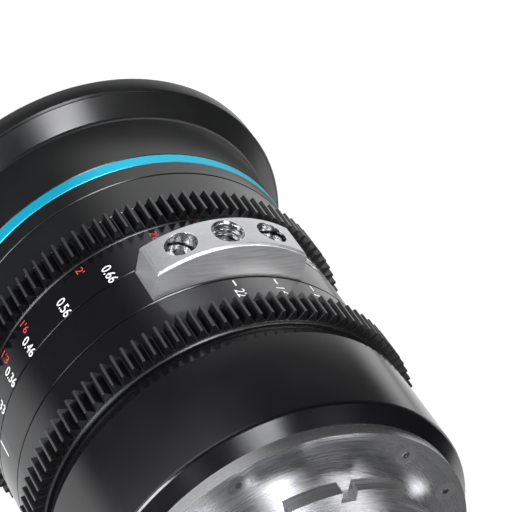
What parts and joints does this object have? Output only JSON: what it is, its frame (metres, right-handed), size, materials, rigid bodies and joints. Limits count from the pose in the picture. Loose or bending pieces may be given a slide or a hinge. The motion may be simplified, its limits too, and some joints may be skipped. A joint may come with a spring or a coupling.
{
  "type": "cinema prime lens",
  "caption": "Cinema prime lens with geared focus and iris rings, a support foot, a flared front ring and a 54 mm tube mount.",
  "frame": {"origin": "centre of the mount's flange plane, on the lens axis", "axes": "+Z along the lens axis from the front glass to the camera, -Y through the middle of the support foot, +X across the foot"},
  "size_m": [0.095, 0.0967, 0.1515],
  "materials": {
    "black_anodised": "satin black anodised",
    "black_gear": "matt black anodised",
    "black_inner": "matt black anodised",
    "accent_blue": "bright blue anodised",
    "foot_aluminium": "fine blasted natural anodised",
    "mount_steel": "turned stainless steel",
    "screw_steel": "polished steel",
    "blade_steel": "matt black coated spring steel",
    "coated_glass": "coated optical glass"
  },
  "bodies": {
    "barrel": {"pl_mount": "mount_steel", "mount_shim": "mount_steel", "mount_screws": "screw_steel", "rear_barrel": "black_anodised", "main_barrel": "black_anodised", "lens_foot": "foot_aluminium", "foot_screws": "screw_steel", "front_sleeve": "black_anodised", "front_screws": "screw_steel", "accent_ring": "accent_blue", "front_bell": "black_anodised", "front_ring": "black_anodised", "front_cell": "black_inner", "front_element": "coated_glass", "second_element": "coated_glass", "front_spacer": "black_inner", "front_retaining_ring": "black_inner", "iris_housing": "black_inner", "iris_retainer": "black_inner", "rear_cell": "black_inner", "rear_doublet_crown": "coated_glass", "rear_doublet_flint": "coated_glass", "doublet_retaining_ring": "black_inner", "rear_element": "coated_glass", "rear_retaining_ring": "black_inner", "rear_baffle": "black_inner"},
    "focus_ring": {"focus_ring": "black_anodised", "focus_scale_ring": "black_anodised", "focus_gear": "black_gear"},
    "focus_group": {"focus_carrier": "black_inner", "cam_followers": "screw_steel", "focus_element_front": "coated_glass", "focus_spacer": "black_inner", "focus_element_rear": "coated_glass", "focus_retaining_ring": "black_inner"},
    "iris_ring": {"iris_ring": "black_anodised", "iris_gear": "black_gear", "iris_drive_pins": "screw_steel", "iris_rotor": "black_inner"},
    "blade_1": {"iris_blade_1": "blade_steel"},
    "blade_2": {"iris_blade_2": "blade_steel"},
    "blade_3": {"iris_blade_3": "blade_steel"},
    "blade_4": {"iris_blade_4": "blade_steel"},
    "blade_5": {"iris_blade_5": "blade_steel"},
    "blade_6": {"iris_blade_6": "blade_steel"},
    "blade_7": {"iris_blade_7": "blade_steel"},
    "blade_8": {"iris_blade_8": "blade_steel"},
    "blade_9": {"iris_blade_9": "blade_steel"}
  },
  "joints": [
    {"name": "focus_turn", "type": "hinge", "parent": "barrel", "child": "focus_ring", "pos_m": [0, 0, -0.0805], "axis": [0, 0, 1], "range_deg": [0, 250]},
    {"name": "focus_slide", "type": "slide", "parent": "barrel", "child": "focus_group", "axis": [0, 0, 1], "range_m": [0, 0.009]},
    {"name": "iris_turn", "type": "hinge", "parent": "barrel", "child": "iris_ring", "pos_m": [0, 0, -0.049], "axis": [0, 0, -1], "range_deg": [0, 93.8]},
    {"name": "blade_1_swing", "type": "hinge", "parent": "barrel", "child": "blade_1", "pos_m": [0.0215, 0, -0.0575], "axis": [0, 0, 1], "range_deg": [0, 32.46]},
    {"name": "blade_2_swing", "type": "hinge", "parent": "barrel", "child": "blade_2", "pos_m": [0.01647, 0.01382, -0.0575], "axis": [0, 0, 1], "range_deg": [0, 32.46]},
    {"name": "blade_3_swing", "type": "hinge", "parent": "barrel", "child": "blade_3", "pos_m": [0.00373, 0.02117, -0.0575], "axis": [0, 0, 1], "range_deg": [0, 32.46]},
    {"name": "blade_4_swing", "type": "hinge", "parent": "barrel", "child": "blade_4", "pos_m": [-0.01075, 0.01862, -0.0575], "axis": [0, 0, 1], "range_deg": [0, 32.46]},
    {"name": "blade_5_swing", "type": "hinge", "parent": "barrel", "child": "blade_5", "pos_m": [-0.0202, 0.00735, -0.0575], "axis": [0, 0, 1], "range_deg": [0, 32.46]},
    {"name": "blade_6_swing", "type": "hinge", "parent": "barrel", "child": "blade_6", "pos_m": [-0.0202, -0.00735, -0.0575], "axis": [0, 0, 1], "range_deg": [0, 32.46]},
    {"name": "blade_7_swing", "type": "hinge", "parent": "barrel", "child": "blade_7", "pos_m": [-0.01075, -0.01862, -0.0575], "axis": [0, 0, 1], "range_deg": [0, 32.46]},
    {"name": "blade_8_swing", "type": "hinge", "parent": "barrel", "child": "blade_8", "pos_m": [0.00373, -0.02117, -0.0575], "axis": [0, 0, 1], "range_deg": [0, 32.46]},
    {"name": "blade_9_swing", "type": "hinge", "parent": "barrel", "child": "blade_9", "pos_m": [0.01647, -0.01382, -0.0575], "axis": [0, 0, 1], "range_deg": [0, 32.46]}
  ],
  "couplings": [
    {"joint": "focus_slide", "follows": "focus_turn", "m_per_rad": 0.0020626},
    {"joint": "blade_1_swing", "follows": "iris_turn", "ratio": 0.34611},
    {"joint": "blade_2_swing", "follows": "iris_turn", "ratio": 0.34611},
    {"joint": "blade_3_swing", "follows": "iris_turn", "ratio": 0.34611},
    {"joint": "blade_4_swing", "follows": "iris_turn", "ratio": 0.34611},
    {"joint": "blade_5_swing", "follows": "iris_turn", "ratio": 0.34611},
    {"joint": "blade_6_swing", "follows": "iris_turn", "ratio": 0.34611},
    {"joint": "blade_7_swing", "follows": "iris_turn", "ratio": 0.34611},
    {"joint": "blade_8_swing", "follows": "iris_turn", "ratio": 0.34611},
    {"joint": "blade_9_swing", "follows": "iris_turn", "ratio": 0.34611}
  ]
}
